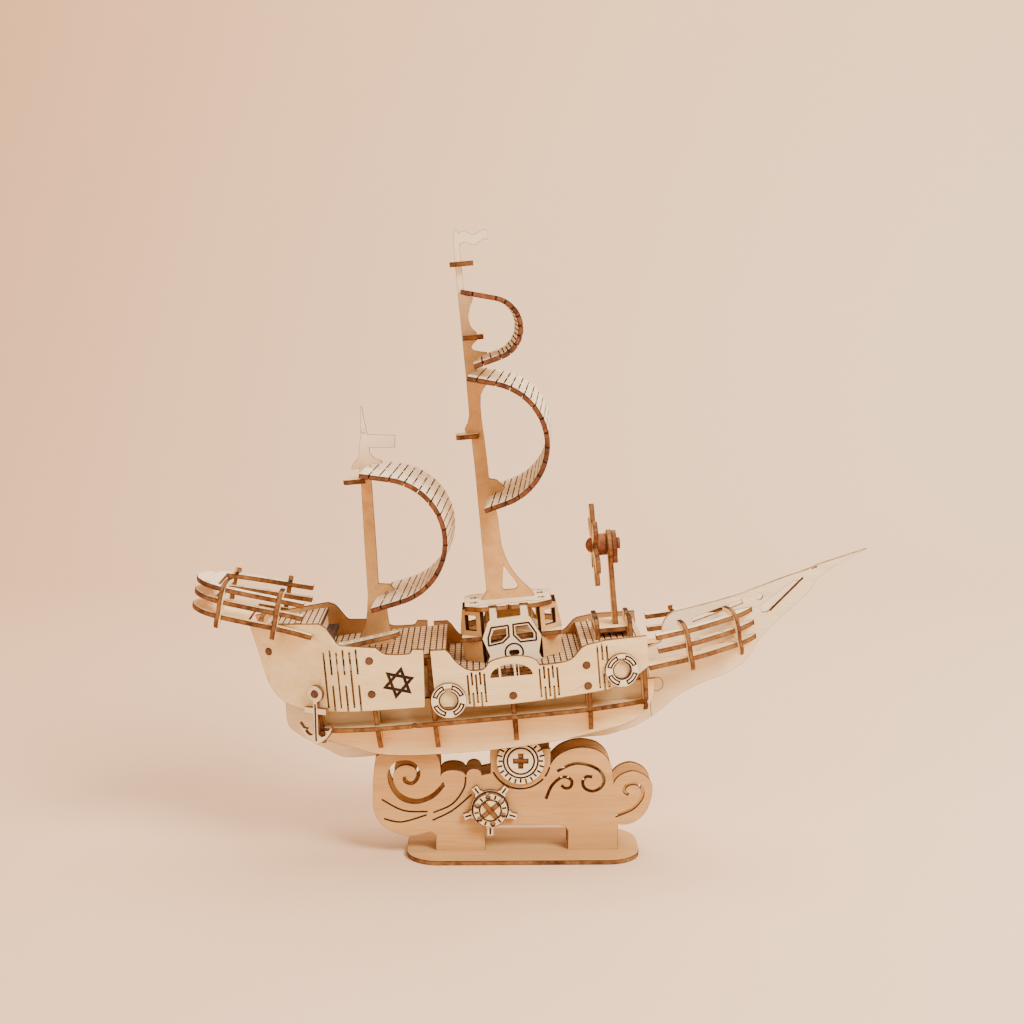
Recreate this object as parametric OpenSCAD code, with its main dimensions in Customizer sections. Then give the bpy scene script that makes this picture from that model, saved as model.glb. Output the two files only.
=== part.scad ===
// Slot-together plywood sailing ship on a wave stand.
// The ship frame is the stand frame turned bow-up by the pitch angle.

/* [Sheet] */
// plywood thickness, mm
ply = 2; // [1.5:0.1:3]
// gap left on each side of a slot, mm
fit = 0.02; // [0.01:0.01:0.1]
// width of a burnt slit, mm
slit = 0.55; // [0.3:0.05:0.8]
// depth of an engraved line, mm
engrave = 0.3; // [0.1:0.05:0.6]

/* [Stand] */
// base plate length, mm
base_len = 99.5; // [90:0.5:120]
// base plate depth, mm
base_dep = 41; // [36:0.5:60]
// base plate corner radius, mm
base_rad = 14; // [4:0.5:20]
// distance of a stand plate's middle from the centre plane, mm
stand_y = 6.4; // [4:0.1:10]
// pivot boss centre along the base, mm
boss_x = -1.2; // [-10:0.1:10]
// pivot boss centre height, mm
boss_z = 41.9; // [38:0.1:46]
// steering wheel centre along the base, mm
helm_x = -14.1; // [-20:0.1:-8]
// steering wheel centre height, mm
helm_z = 21; // [18:0.1:26]
// steering wheel turn at rest, degrees
helm_turn = 50; // [0:1:90]

/* [Hull] */
// bow-up pitch of the whole ship, degrees
pitch = 5; // [0:0.5:10]
// outer half breadth amidships, mm
half_b = 29.25; // [20:0.25:40]
// distance of a garboard's middle from the centre plane, mm
garb_y = 13; // [8:0.5:18]
// underside of the side panels, mm
panel_low = 74.6; // [70:0.1:80]
// bottom edge of the keel, mm
keel_low = 47.4; // [44:0.1:52]
// top edge of the keel, mm
keel_top = 85; // [76:0.5:85]
// height of the stringer's middle, mm
string_z = 65.5; // [60:0.5:70]
// top of the main deck, mm
main_z = 96; // [90:0.5:100]
// top of the well deck round the cabin, mm
well_z = 87; // [82:0.5:92]
// top of the fore deck, mm
fore_z = 92; // [88:0.5:96]
// top of the poop deck, mm
poop_z = 109.5; // [104:0.5:112]
// slope of the stern rails, degrees
stern_slope = 15.5; // [0:0.5:25]
// slope of the bow rails, degrees
bow_slope = 5; // [0:0.5:15]

/* [Sails] */
// half width of the mizzen sail, mm
mizzen_half = 26; // [20:0.5:40]
// half width of the lower main sail, mm
main_half = 38; // [25:0.5:45]
// half width of the upper main sail, mm
upper_half = 30; // [20:0.5:40]
// turn of the lower main sail about its mast, far side towards the bow, degrees
main_yaw = 3.4; // [0:0.1:8]
// turn of the mizzen sail about its mast, degrees
mizzen_yaw = 2.8; // [0:0.1:8]
// width of a slit in a sail, mm
sail_slit = 0.36; // [0.2:0.02:0.8]

/* [Windmill] */
// height of the windmill's axle in the ship frame, mm
mill_z = 130.3; // [120:0.1:140]
// windmill radius, mm
mill_r = 17.6; // [12:0.1:22]

/* [Hidden] */
h = ply / 2;
slot_w = ply + 2 * fit;
big = 400;
run = 0.06;
peg_r = 1.5;
frame_x = [-79, -55.5, -31.5, 1.5, 33, 56.5];
lap_keel = 66;
lap_garb = [62.5, 59, 58, 58, 60, 63.4];
garb_top = 74;
boss_r = 12.8;
medal_r = 10.3;
cross_arm = 3.2;
cross_w = slot_w;
helm_strip = 8;
helm_bore = sqrt(pow(helm_strip / 2, 2) + h * h) + run;
burnt = [0.62, 0.42, 0.22];
pale = [0.92, 0.82, 0.66];
tan_ = [0.86, 0.72, 0.52];
$fn = 48;

// ---------- helpers ----------
module ship() rotate([0, -pitch, 0]) children();
// sheet standing along the ship, outline in x and z
module py(y = 0, th = ply) translate([0, y, 0]) rotate([90, 0, 0]) linear_extrude(th,
  center = true) children();
// sheet standing across the ship, outline in y and z
module px(x = 0, th = ply) translate([x, 0, 0]) rotate([90, 0, 90]) linear_extrude(th,
  center = true) children();
// sheet lying flat, outline in x and y
module pz(z = 0, th = ply) translate([0, 0, z]) linear_extrude(th, center = true) children();
// the same child again on the far side
module both() { children(); mirror([0, 1, 0]) children(); }
// box by its low and high corners
module bx(a, b) translate(a) cube(b - a);
module rect(a, b) translate(a) square(b - a);
// outline drawn the same way round whichever way its points run
function turn2(p, i = 0, t = 0) = i >= len(p) ? t
  : let (a = p[i], b = p[(i + 1) % len(p)]) turn2(p, i + 1, t + a[0] * b[1] - b[0] * a[1]);
function back(p) = [for (i = [len(p) - 1:-1:0]) p[i]];
module poly(p) polygon(turn2(p) < 0 ? back(p) : p);

// one point of a curve through four neighbouring points
function cat(a, b, c, d, u) = 0.5 * (2 * b + (c - a) * u + (2 * a - 5 * b + 4 * c - d) * u * u
                                     + (3 * b - a - 3 * c + d) * u * u * u);
// open smooth curve through the points, n steps a span
function spl(p, n = 4) = let (m = len(p)) concat([for (i = [0:m - 2], k = [0:n - 1])
  cat(p[max(i - 1, 0)], p[i], p[i + 1], p[min(i + 2, m - 1)], k / n)], [p[m - 1]]);
function unit(v) = v / norm(v);
function nrm(p, i) = let (m = len(p), d = unit(p[min(i + 1, m - 1)] - p[max(i - 1, 0)])) [-d[1], d[0]];
// strip of a given width along a line of points
function strip(p, w) = concat([for (i = [0:len(p) - 1]) p[i] + nrm(p, i) * w / 2],
                              [for (i = [len(p) - 1:-1:0]) p[i] - nrm(p, i) * w / 2]);
module line(p, w = slit) poly(strip(p, w));
// straight strokes from point to point, each its own strip
module strokes(p, w = slit) for (i = [0:len(p) - 2]) line([p[i], p[i + 1]], w);
module ring(r1, r2) difference() { circle(r1); circle(r2); }
module arc_slot(r, w, a0, a1, n = 8) line([for (i = [0:n]) let (a = a0 + (a1 - a0) * i / n) r * [cos(a),
  sin(a)]], w);
module spin(n, a0 = 0) for (i = [0:n - 1]) rotate(a0 + 360 * i / n) children();

// ---------- stand ----------
module rr2(l, d, r) {
  square([l - 2 * r, d], center = true);
  square([l, d - 2 * r], center = true);
  for (i = [-1, 1], j = [-1, 1]) translate([i * (l / 2 - r), j * (d / 2 - r)]) circle(r);
}
foot_l = [-37.3, -16.2];
foot_r = [19.3, 40.7];
tenon = 4;
tie_x = [-27, 34];
module base_plate() color(pale) difference() {
  pz(h) rr2(base_len, base_dep, base_rad);
  for (s = [-1, 1], f = [foot_l, foot_r])
    bx([f[0] + tenon - fit, s * stand_y - h - fit, -1], [f[1] - tenon + fit, s * stand_y + h + fit, 3]);
  for (x = tie_x) bx([x - h - fit, -3 - fit, -1], [x + h + fit, 3 + fit, 3]);
}

wave_left = [[-39.4, 10.3], [-49.2, 8.2], [-59.4, 12.5], [-63.6, 19], [-64.2, 28], [-63.7, 37], [-62.8,
  43.6]];
bump = function(x0, x1, z, r, n = 8) [for (i = [0:n]) let (a = 180 - 180 * i / n)
  [(x0 + x1) / 2 + (x1 - x0) / 2 * cos(a), z + r * sin(a)]];
wave_right = [[11.3, 39], [12.6, 41.5], [15.7, 44.4], [20.6, 46.6], [26, 47.2], [31.9, 45.8], [35.8, 42.5],
  [37.8, 38], [38.7, 31.4]];
wave_small = [[38.7, 31.4], [39.6, 33.2], [42.3, 35.4], [46.7, 36.7], [51.1, 35.4], [54.1, 32.8], [55.3,
  29.5],
  [54.8, 24.2], [52.4, 18.1], [48.5, 14.5], [44.6, 13], [40.7, 13]];
module stand_outline() difference() {
  union() {
    poly(concat(
      [[foot_l[0], 2], [foot_l[0], 8.6]], spl(wave_left, 3), [[-60.7, 45.2], [-38.2, 45.2]],
      spl([[-38.2, 45.2], [-36.4, 43.6], [-35.6, 41.4], [-35.2, 38.4]], 3),
      bump(-35.2, -24.8, 35.2, 2.3), bump(-24.4, -17.8, 35.2, 2.9), [[-14, 36], [-13.9, 33]],
      [[11, 33]], spl(wave_right, 3), spl(wave_small, 3),
      [[foot_r[1], 2], [foot_r[1] - tenon, 2], [foot_r[1] - tenon, 0], [foot_r[0] + tenon, 0],
        [foot_r[0] + tenon, 2],
       [foot_r[0], 2], [foot_r[0], 10.4], [17.9, 12.2], [15.5, 13.1], [-13.6, 13.1], [-15.4, 12.4],
       [foot_l[1], 10.8], [foot_l[1], 2],
       [foot_l[1] - tenon, 2], [foot_l[1] - tenon, 0], [foot_l[0] + tenon, 0], [foot_l[0] + tenon, 2]]));
    translate([boss_x, boss_z]) circle(boss_r);
    rect([boss_x - boss_r, 30], [boss_x + boss_r, 46.8]);
  }
  rect([boss_x - boss_r - 1, 46.8], [boss_x + boss_r + 1, 60]);
}
spiral_out = [[-33.6, 30.4], [-36.9, 26.4], [-40.9, 23.9], [-46.3, 22.6], [-52, 24.1], [-56, 28.6],
  [-57.8, 34.1],
  [-56.8, 38.7], [-53.9, 41.2], [-49.4, 41.8], [-45.8, 40.1], [-44, 36.6], [-45, 32.8], [-47.8, 31],
    [-50.9, 32.1],
  [-51.3, 34.5]];
spiral_in = [[-50.2, 34.6], [-49.7, 33.2], [-47.8, 32.4], [-46.2, 33.6], [-45.4, 36.3], [-46.6, 38.7],
  [-49.8, 39.8],
  [-53.3, 38.8], [-55.2, 36.2], [-55.5, 32.8], [-53.6, 28.6], [-49.9, 25.8], [-45, 24.7], [-40.1, 26.4],
  [-36.8, 29.1], [-34.2, 32.1]];
curl_a = [[9.7, 24.6], [11.9, 30], [15.3, 33.5], [18.2, 34.2], [20.7, 32.5], [20.2, 29.9], [18, 29.2],
  [16.3, 30.5]];
curl_b = [[14.5, 36.8], [19.2, 39.3], [23.6, 40.2], [29.5, 38.8], [33.4, 36], [34.5, 32.4], [33, 29.4],
  [29.6, 27.8],
  [26.1, 29.4], [25.4, 32.5], [27.1, 34.4], [29.3, 34.2]];
curl_c = [[39.6, 16.8], [46.4, 19.6], [50.3, 23.7], [51.3, 27.3], [49.7, 30.3], [47.3, 31.1], [44.3, 30.3],
  [43.1, 27.8], [45, 26.3]];
module stand_lines() {
  line(spl([[-60.3, 24.6], [-51.2, 19.7], [-41, 19.2]], 4));
  line(spl([[-59.4, 16.1], [-52, 14.6], [-41.4, 17.7]], 4));
  line(spl([[-24.6, 34.4], [-25.4, 29.3], [-30.3, 22.5], [-38.3, 18.8]], 4));
  line(spl([[-22.2, 26.6], [-30.3, 19.6], [-38.7, 15.4]], 4));
  translate([boss_x, boss_z]) { arc_slot(boss_r, slit, 205, 318, 16); arc_slot(boss_r, slit, 325, 345, 4); }
}
module cross_hole(arm = cross_arm, w = cross_w) { square([2 * arm, w], center = true); square([w,
  2 * arm], center = true); }
module stand_plate(s) {
  difference() {
    py(s * stand_y) difference() {
      stand_outline();
      poly(concat(spl(spiral_out, 3), spl(spiral_in, 3)));
      line(spl(curl_a, 3), 1.1);
      line(spl(curl_b, 3), 1.1);
      line(spl(curl_c, 3), 1.1);
      translate([helm_x, helm_z]) circle(helm_bore);
      translate([boss_x, boss_z]) cross_hole(cross_arm + fit);
    }
    py(s * (stand_y + h), 2 * engrave) stand_lines();
  }
}
module stand_plate_near() color(tan_) stand_plate(-1);
module stand_plate_far() color(tan_) stand_plate(1);
// cross plates that keep the stand plates apart
tie_top = [33, 41];
module stand_ties() color(tan_) for (i = [0, 1]) px(tie_x[i]) {
  rect([-stand_y + h + fit, ply], [stand_y - h - fit, tie_top[i]]);
  rect([-3, 0], [3, ply + 1]);
}

// round boss plates on the pivot, fixed to the stand
module medallion_2d() difference() {
  circle(medal_r);
  spin(8, 22.5) for (k = [-1, 1]) rotate(k * 8) translate([8.2, -slit / 2]) square([4, slit]);
  cross_hole(cross_arm + fit);
}
module medallions() color(pale) both() translate([boss_x, 0, boss_z]) difference() {
  py(-stand_y - ply) medallion_2d();
  py(-stand_y - ply - h, 2 * engrave) {
    ring(5.7 + slit / 2, 5.7 - slit / 2);
    ring(7.3 + slit / 2, 7.3 - slit / 2);
    spin(8) translate([7.8, -slit / 2]) square([1.6, slit]);
  }
}
// two slotted strips pushed into each other make a cross pin
module cross_strip(w, l, flip) difference() {
  cube([w, l, ply], center = true);
  translate([0, flip * l / 4, 0]) cube([slot_w, l / 2 + 2 * fit, ply + 1], center = true);
}
module pivot_pins() color(burnt) translate([boss_x, 0, boss_z])
  for (i = [0, 1]) rotate([0, 90 * i, 0]) cross_strip(2 * cross_arm, 2 * stand_y + 4.6, 1 - 2 * i);

// ---------- steering wheel on the stand ----------
helm_gap = 0.4;
helm_y1 = stand_y + h + helm_gap + h;
helm_y2 = helm_y1 + ply;
module helm() translate([helm_x, 0, helm_z]) rotate([0, helm_turn, 0]) children();
module helm_axle() color(burnt) helm()
  for (i = [0, 1]) rotate([0, 90 * i, 0]) cross_strip(helm_strip, 2 * helm_y2 + ply + 1, 1 - 2 * i);
module helm_hole() cross_hole(helm_strip / 2 + fit);
handle_turn = helm_turn - 90;
module helm_wheels() color(pale) both() helm() difference() {
  py(-helm_y1) rotate(handle_turn) difference() {
    union() {
      circle(8.3);
      spin(5) poly([[0, -2.2], [8.6, -2], [9.2, -1.4], [11.8, -1.5], [11.8, 1.5], [9.2, 1.4], [8.6, 2],
        [0, 2.2]]);
    }
    rotate(-handle_turn) helm_hole();
  }
  py(-helm_y1 - h, 2 * engrave) rotate(handle_turn) {
    spin(5) translate([8.6, -slit / 2]) square([2.6, slit]);
    ring(7.9, 7.9 - slit);
  }
}
module helm_spokes() color(pale) both() helm() difference() {
  py(-helm_y2) difference() {
    circle(7.3);
    spin(6, 30) { translate([5.9, 0]) circle(1.1); translate([5.9, -0.45]) square([2, 0.9]); }
    helm_hole();
  }
  py(-helm_y2 - h, 2 * engrave) {
    ring(4.9, 4.9 - slit);
    spin(6) translate([5, -slit / 2]) square([1.8, slit]);
  }
}

// ---------- centre plane ----------
keel_stern = [[-95.3, 70], [-94.8, 63.6], [-89, 58.2], [-80, 52.2], [-74, 48.4], [-67.7, keel_low], [-60,
  keel_low]];
function pivot_ship() = [boss_x * cos(pitch) + boss_z * sin(pitch),
  -boss_x * sin(pitch) + boss_z * cos(pitch)];
bow_join = 60;
module keel_plate() color(tan_) ship() py() difference() {
  union() {
    poly(concat(spl(keel_stern, 3), [[40, keel_low]], spl([[40, keel_low], [52, 50.1], [bow_join, 53.8]],
      3),
      [[bow_join, keel_top - 4], [58, keel_top], [-95, keel_top]]));
    translate(pivot_ship()) circle(8.5);
    rect([pivot_ship()[0] - 8.5, pivot_ship()[1]], [pivot_ship()[0] + 8.5, 60]);
    translate([bow_join + 3, 68]) circle(3);
    rect([bow_join - 1, 66.6], [bow_join + 2, 69.4]);
  }
  for (x = frame_x) rect([x - h - fit, lap_keel], [x + h + fit, 120]);
  translate(pivot_ship()) rotate(-pitch) cross_hole(cross_arm + fit);
}
stem = [[bow_join, 53.8], [64.6, 56.7], [70.5, 61.1], [75.7, 63.9], [82, 66.5], [88.3, 68.4], [93.2, 69.8],
  [99, 72.8], [103.6, 76.6], [107.5, 82.8]];
bow_fore = [[107.5, 82.8], [115.8, 90.3], [124.5, 97.2], [131.6, 103.2], [134.4, 107.4], [141.4, 111.9],
  [156.7, 118.8]];
bow_top = [[156.7, 118.8], [135.1, 113.7], [130.1, 111.9], [120.3, 109.4], [107.8, 105.8], [100.3, 103.7],
  [88, 101.2], [78, 99.6], [71.9, 98.4], [68.6, 95.5], [67.1, 91.7], [67.6, 88.5]];
module bow_plate() color(tan_) ship() difference() {
  py() difference() {
    poly(concat(spl(stem, 3), spl(bow_fore, 3), [bow_top[0]], spl([for (i = [1:11]) bow_top[i]], 3),
      [[66, 86], [bow_join, 84]]));
    translate([bow_join + 3, 68]) circle(3 + fit);
    rect([bow_join - 2, 66.6 - fit], [bow_join + 2, 69.4 + fit]);
    poly([[110.2, 95.2], [112.6, 95.1], [127.2, 107.6], [124.6, 107.6], [110.2, 98.6]]);
    translate([109.6, 102.1]) circle(1.5);
    translate([133.7, 112.6]) rotate(15) square([2.2, 0.5], center = true);
    line([[80.4, 94.4], [102.2, 100.6]], 1.7);
  }
  bow_frame() for (i = [0:2]) bx([(i == 0 ? 36 : 38) - fit, -5, bow_up[i] - h - fit], [45.2 + fit, 5,
    bow_up[i] + h + fit]);
  py(-h, 2 * engrave) line([[113.6, 95.6], [128.6, 108.6]]);
  py(h, 2 * engrave) line([[113.6, 95.6], [128.6, 108.6]]);
}

// ---------- lower hull ----------
garb_low = [[-75.3, 58.7], [-67.2, 55.6], [-57.2, 51.9], [-44, 50], [-27, 49.3], [-10.1, 49.2], [14.9,
  50.3],
  [34.3, 52.9], [49.3, 55.8], [54.6, 58.9], [58, 62.2], [60.4, 66]];
module garboard(s) ship() py(s * garb_y) difference() {
  poly(concat([[-79 - h - 1.5, garb_top], [-79 - h - 1.5, 60.4]], spl(garb_low, 3), [[61.6, garb_top]]));
  for (i = [0:5]) rect([frame_x[i] - h - fit, lap_garb[i]], [frame_x[i] + h + fit, 120]);
}
module garboard_near() color(tan_) garboard(-1);
module garboard_far() color(tan_) garboard(1);

// how far the panel leans out along the ship, degrees
function turn(x) = x < -74 ? 24 : x < -58 ? 24 - 21 * (x + 74) / 16 : x < -34 ? 3 : x < 13.5 ? 0 :
  x < 21 ? -3 * (x - 13.5) / 7.5 : x < 38 ? -3 : x < 42 ? -3 - 3.5 * (x - 38) / 4 : -6.5;
plan_x = [-106, -90, -74, -71.3, -68.7, -66, -63.3, -60.7, -58, -34, -10, 13.5, 15.4, 17.3, 19.1, 21, 38,
  40, 42, 59];
function step_y(i) = (plan_x[i + 1] - plan_x[i]) * tan(turn((plan_x[i] + plan_x[i + 1]) / 2));
function sum_y(a, b) = a >= b ? 0 : step_y(a) + sum_y(a + 1, b);
mid_i = 10;
function plan_y(i) = half_b + (i < mid_i ? -sum_y(i, mid_i) : sum_y(mid_i, i));
plan = [for (i = [0:len(plan_x) - 1]) [plan_x[i], plan_y(i)]];
// half breadth of the outside and of the inside of the side panels
function outer(x, i = 0) = x <= plan_x[i + 1] || i >= len(plan_x) - 2
  ? let (u = (x - plan_x[i]) / (plan_x[i + 1] - plan_x[i])) plan_y(i) * (1 - u) + plan_y(i + 1) * u
  : outer(x, i + 1);
function inside(x) = outer(x) - ply - fit;
function frame_w(x) = min(inside(x - h - 0.05), inside(x + h + 0.05));
// near side: place on the outside of the panel, y pointing inwards
module on_panel(p) translate([p[0], -outer(p[0]), p[1]]) rotate([0, 0, -turn(p[0])]) children();
module panel_plan(grow = 0) poly(concat([for (p = plan) p + [0, grow]],
  [for (i = [len(plan) - 1:-1:0]) plan[i] - [0, ply + grow]]));

frame_low = [58.8, 54.6, 52.6, 52.7, 54.6, 61];
frame_top = [poop_z - ply, main_z - ply, main_z - ply, well_z - ply, fore_z - ply, fore_z - ply];
// half outline of a cross frame
function frame_half(i) = let (x = frame_x[i], w = frame_w(x), z0 = frame_low[i], k = w / inside(-20),
  g = garb_y + h + 0.6, u = w - 3 * k)
  [[0, z0], [g, z0], [g + (u - g) * 0.45, z0 + (68 - z0) * 0.3], [g + (u - g) * 0.8,
    z0 + (68 - z0) * 0.66], [u, 68],
   [w - 1.6 * k, 72.4], [w - 0.9, 73.6], [w, 75], [w, frame_top[i]], [0, frame_top[i]]];
module frame(i) ship() px(frame_x[i]) difference() {
  poly(concat(frame_half(i), [for (q = back(frame_half(i))) if (q[0] > 0) [-q[0], q[1]]]));
  rect([-h - fit, 0], [h + fit, lap_keel]);
  for (s = [-1, 1]) {
    rect([s * garb_y - h - fit, 0], [s * garb_y + h + fit, lap_garb[i]]);
    rect([s > 0 ? garb_y + h : -60, string_z - h - fit], [s > 0 ? 60 : -garb_y - h, string_z + h + fit]);
  }
  // lightening window between the decks and the keel
  for (s = [-1, 1]) translate([s * 7, 78]) circle(i == 0 || i == 5 ? 2.5 : 3.4);
}
module frame_1() color(burnt) frame(0);
module frame_2() color(burnt) frame(1);
module frame_3() color(burnt) frame(2);
module frame_4() color(burnt) frame(3);
module frame_5() color(burnt) frame(4);
module frame_6() color(burnt) frame(5);
string_out = [[-77.9, 19.4], [-70, 22], [-58, 24.2], [-40, 24.8], [0, 24.8], [30, 23.6], [46, 20.6], [57,
  17.2]];
module stringers() color(burnt) ship() both() pz(string_z) difference() {
  poly(concat(spl(string_out, 3), [[57, garb_y + h], [-77.9, garb_y + h]]));
  translate([-40.2, 24.9]) rotate(30) square([1.4, 2], center = true);
}

// ---------- side panels ----------
// places of the round pegs and of the anchor's pin
aft_pegs = [[-98.2, 99.6], [-55.7, 95.3], [-56, 81.3]];
fore_pegs = [[1.6, 75.9], [32.5, 85.7], [32.5, 77]];
anchor_p = [-78.6, 82.6];
aft_side = concat(spl([[-105.6, 111.2], [-103.9, 104.6], [-102, 96.2], [-100.2, 88], [-97.2, 81.8],
  [-92.6, 77.6],
  [-86, 75.4], [-80, panel_low]], 3), [[-35, panel_low - 0.4], [-34.6, 75.2], [-33.2, 98.2], [-37.6, 98.8]],
  spl([[-38.6, 97.4], [-40, 96.9], [-47.6, 97.3], [-50, 98.2], [-52.7, 100.6]], 3),
  [[-67.2, 102.4]], spl([[-68.4, 103.4], [-70.9, 107.4], [-72.6, 109.8], [-75.4, 111.4]], 3));
fore_side = concat([[-30.6, 97.6], [-30.4, 73.8]], spl([[-20, 73.2], [-9.9, 72.4], [8, 72.6], [30, 73.8],
  [41, 74.6]], 2),
  [[53.4, 79.2]], [[58.4, 82.6], [58.2, 95.2], [41, 95.2], [32.9, 94]],
  spl([[31, 93], [29, 91], [26.6, 88.9], [22.5, 87.8], [15, 87.6]], 3), [[13.4, 87.6], [12.4, 89.4]],
  spl([[11.4, 90.4], [8.7, 91.6], [3.6, 92.4], [-1.5, 92.1], [-5.6, 91.2], [-7.5, 90.2]], 3),
  spl([[-8.6, 88.6], [-10.2, 87.8], [-13, 87.6], [-15.6, 88.2], [-18.3, 89.8], [-20.8, 92.4], [-22.6,
    95.4]], 3),
  [[-24.4, 97.4]]);
// hinge columns from x0, dx apart: long slits by turns with pairs of short ones
module hinge(x0, n, dx, z0, z1, g) for (i = [0:n - 1]) let (x = x0 + i * dx, m = (z0 + z1) / 2)
  if (i % 2 == 0) rect([x, z0 + 1.6], [x + slit, z1 - 1.6]);
  else { rect([x, z0 - 1], [x + slit, m - g]); rect([x, m + g], [x + slit, z1 - 0.6]); }
module star_2d(r) for (a = [75, -105]) rotate(a) difference() {
  circle(r, $fn = 3);
  circle(r - 2.1, $fn = 3);
}
module panel_body(side_pts) difference() {
  intersection() {
    linear_extrude(big) panel_plan();
    py(0, 4 * half_b) poly(side_pts);
  }
  children();
}
module cut(th = 60) py(half_b, th) children();
module peg_hole(p) mirror([0, 1, 0]) on_panel(p) py(0, 8) circle(peg_r + fit);
module panel_aft(slits_top = 101) panel_body(aft_side) {
  cut() hinge(-74.7, 6, 2.72, panel_low, slits_top, 2.4);
  for (p = concat(aft_pegs, [anchor_p])) peg_hole(p);
  mirror([0, 1, 0]) on_panel([-44.6, 85.3]) py(0, 2 * engrave) star_2d(6.8);
}
module window_2d() difference() {
  intersection() { translate([1.6, 84.2]) scale([1.75, 1]) circle(4.9); rect([-20, 84.2], [20, 95]); }
  for (x = [-3.6, 2.6]) rect([x, 80], [x + 1.1, 95]);
  rect([4.4, 80], [5, 95]);
}
module panel_fore() panel_body(fore_side) {
  cut() hinge(-16.6, 5, 1.7, 72.6, 87.6, 1.7);
  cut() hinge(12.9, 5, 1.8, 72.8, 87.6, 1.7);
  cut() hinge(37.2, 3, 1.9, 74, 94.6, 3);
  cut() window_2d();
  for (p = fore_pegs) peg_hole(p);
}
module panel_aft_near() color(pale) ship() mirror([0, 1, 0]) panel_aft();
// the far one is slit only below the decks
module panel_aft_far() color(pale) ship() panel_aft(main_z - ply);
module panel_fore_near() color(pale) ship() mirror([0, 1, 0]) panel_fore();
module panel_fore_far() color(pale) ship() panel_fore();
// round pegs through the side panels
peg_in = 1.8;
anchor_gap = 0.5;
anchor_pin = anchor_gap + ply + 0.9;
// the longer pins carry the anchors
module hull_pegs() color(burnt) ship() both() {
  for (p = concat(aft_pegs, fore_pegs)) on_panel(p) translate([0, -0.4, 0]) rotate([-90, 0,
    0]) cylinder(h = peg_in + 0.4, r = peg_r);
  on_panel(anchor_p) translate([0, -anchor_pin, 0]) rotate([-90, 0, 0]) cylinder(h = peg_in + anchor_pin,
    r = peg_r);
}

// ---------- decks ----------
function deck_half(x) = inside(x) - 0.1;
module deck_2d(x0, x1, n = 8) let (s = [for (i = [0:n]) let (x = x0 + (x1 - x0) * i / n) [x, deck_half(x)]])
  poly(concat(s, [for (i = [n:-1:0]) [s[i][0], -s[i][1]]]));
module planks(x0, x1, dx, z) {
  for (x = [x0 + dx:dx:x1 - 0.5]) bx([x - 0.2, -40, z - engrave], [x + 0.2, 40, z + 1]);
  for (k = [-6:6]) bx([x0, k * 4 - 0.18, z - engrave], [x1, k * 4 + 0.18, z + 1]);
}
module main_deck() color(pale) ship() difference() {
  pz(main_z - h) difference() {
    deck_2d(-75.3, -24.5, 12);
    rect([-61, -h - fit], [-47, h + fit]);
  }
  planks(-75.3, -24.5, 2.6, main_z);
}
module well_deck() color(pale) ship() difference() {
  pz(well_z - h) difference() {
    deck_2d(-24.3, 31.5);
    rect([-6.2, -h - fit], [12.2, h + fit]);
  }
  planks(-24.3, 31.5, 2.6, well_z);
}
module fore_deck() color(pale) ship() difference() {
  pz(fore_z - h) difference() {
    deck_2d(31.6, 57.4);
    rect([38.1 - fit, -12 - fit], [40.1 + fit, 12 + fit]);
    rect([51.9 - fit, -12 - fit], [53.9 + fit, 12 + fit]);
  }
  planks(31.6, 57.4, 2.6, fore_z);
}
module poop_deck() color(pale) ship() difference() {
  union() {
    pz(poop_z - h) deck_2d(-99.9, -75.5);
    pz(102) rect([-75.4, -16], [-71, 16]);
    px(-75.4 - h) rect([-15, 94], [15, poop_z - ply]);
  }
  planks(-99.9, -75.5, 2.6, poop_z);
  planks(-75.4, -71, 2.2, 103);
}
module transom() color(tan_) ship() px(-101) poly([[-9.6, poop_z + 1], [-9.6, 97.4], [9.6, 97.4],
  [9.6, poop_z + 1], [4, poop_z + 3], [-4, poop_z + 3]]);
board_tilt = 8;
module hatch_board() color(pale) ship() translate([-57, -16, 101.2]) rotate([0, -board_tilt,
  0]) difference() {
  union() {
    pz(0) { rect([-12.4, -3.4], [11, 3.4]); translate([11, 0]) circle(3.4); }
    pz(-h - 1.26, 2.52) rect([-12, -1.6], [-9, 1.6]);
  }
  for (x = [-9.5:4.2:10]) bx([x, -2, h - engrave], [x + 2.6, -1.4, 3]);
  for (x = [-9.5:4.2:10]) bx([x, 1.2, h - engrave], [x + 2.6, 1.8, 3]);
}

// ---------- cabin ----------
cab_y = 15;
cab_c = 3.2;
shelf_z = 97.2;
roof_z = 110;
module cabin_side_2d() difference() {
  poly([[-8, well_z], [-6.6, 90], [-9.2, 97.6], [-6.5, 104.3], [-5.4, 105.4], [-5.4, roof_z + 0.4], [-2.2,
    roof_z + 0.4],
    [-2.2, 105.8], [7.4, 106.3], [7.4, roof_z + 0.4], [10.8, roof_z + 0.4], [10.8, 106], [11.6, 105],
      [15.6, 97], [14, 90],
    [15.2, well_z]]);
  poly([[-4, 100.9], [1, 101.3], [1, 98.2], [-1.2, 96.2], [-5.6, 95.4], [-5.6, 97.6]]);
  poly([[5, 101.7], [10, 101.9], [12.2, 98], [12.1, 96.3], [7, 96.1], [5, 98.4]]);
  translate([cab_c + 0.4, 90.8]) { square([2, 2], center = true); for (k = [-1, 1]) translate([k * 1.1,
    0]) circle(1); }
}
module cabin_marks() {
  strokes([[-5.1, 102], [2, 102.4], [2, 97.7], [-0.8, 95.3], [-6.7, 94.4], [-6.7, 97.7], [-5.1, 102]]);
  strokes([[4, 102.6], [10.6, 102.9], [13.3, 98.2], [13.2, 95.2], [6.6, 95], [4, 98], [4, 102.6]]);
  translate([cab_c + 0.4, 90.8]) ring(4, 4 - slit);
}
module cabin_side() difference() {
  py(-cab_y) cabin_side_2d();
  py(-cab_y - h, 2 * engrave) cabin_marks();
}
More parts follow.
